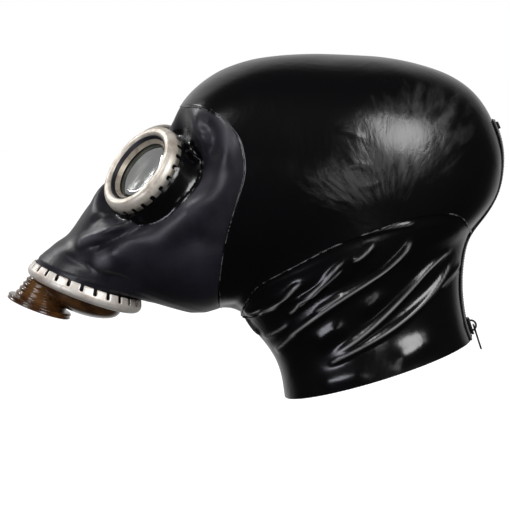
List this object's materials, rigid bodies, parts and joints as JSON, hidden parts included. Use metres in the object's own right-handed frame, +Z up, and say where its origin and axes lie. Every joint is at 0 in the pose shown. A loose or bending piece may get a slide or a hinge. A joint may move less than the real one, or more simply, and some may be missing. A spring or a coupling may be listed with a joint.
{
  "type": "gas mask style costume mask",
  "caption": "Full-head rubber costume mask in gas mask style: glossy hood with collar and back zip, round metal-rimmed eyepieces, and a snout ending in a clamp ring and valve.",
  "frame": {"origin": "the point inside the hood where it rests on the top of the head, on the middle plane", "axes": "+Z up, -Y the way the mask looks, +X toward the wearer's left"},
  "size_m": [0.1532, 0.3474, 0.2395],
  "materials": {
    "hood_rubber": "high gloss",
    "face_rubber": "satin to matt",
    "eye_metal": "dull, rounded",
    "clamp_metal": "dull pressed",
    "lens_glass": "polished",
    "valve_plastic": "glossy amber brown",
    "zip_fabric": "woven tape",
    "zip_plastic": "satin",
    "zip_metal": "black gloss"
  },
  "bodies": {
    "mask": {"hood_head": "hood_rubber", "hood_collar": "hood_rubber", "face_piece": "face_rubber", "eye_ring_left": "eye_metal", "eye_ring_right": "eye_metal", "eye_retainer_left": "eye_metal", "eye_retainer_right": "eye_metal", "eye_lens_left": "lens_glass", "eye_lens_right": "lens_glass", "valve_ring": "clamp_metal", "valve_cap": "valve_plastic", "inlet_neck": "valve_plastic", "zip_tape_left": "zip_fabric", "zip_tape_right": "zip_fabric", "zip_teeth": "zip_plastic", "zip_stop": "zip_metal", "zip_slider": "zip_metal"},
    "pull": {"zip_pull": "zip_metal"}
  },
  "joints": [
    {"name": "pull_swing", "type": "hinge", "parent": "mask", "child": "pull", "pos_m": [0, 0.10917, -0.18746], "axis": [1, 0, 0], "range_deg": [0, 165]}
  ]
}
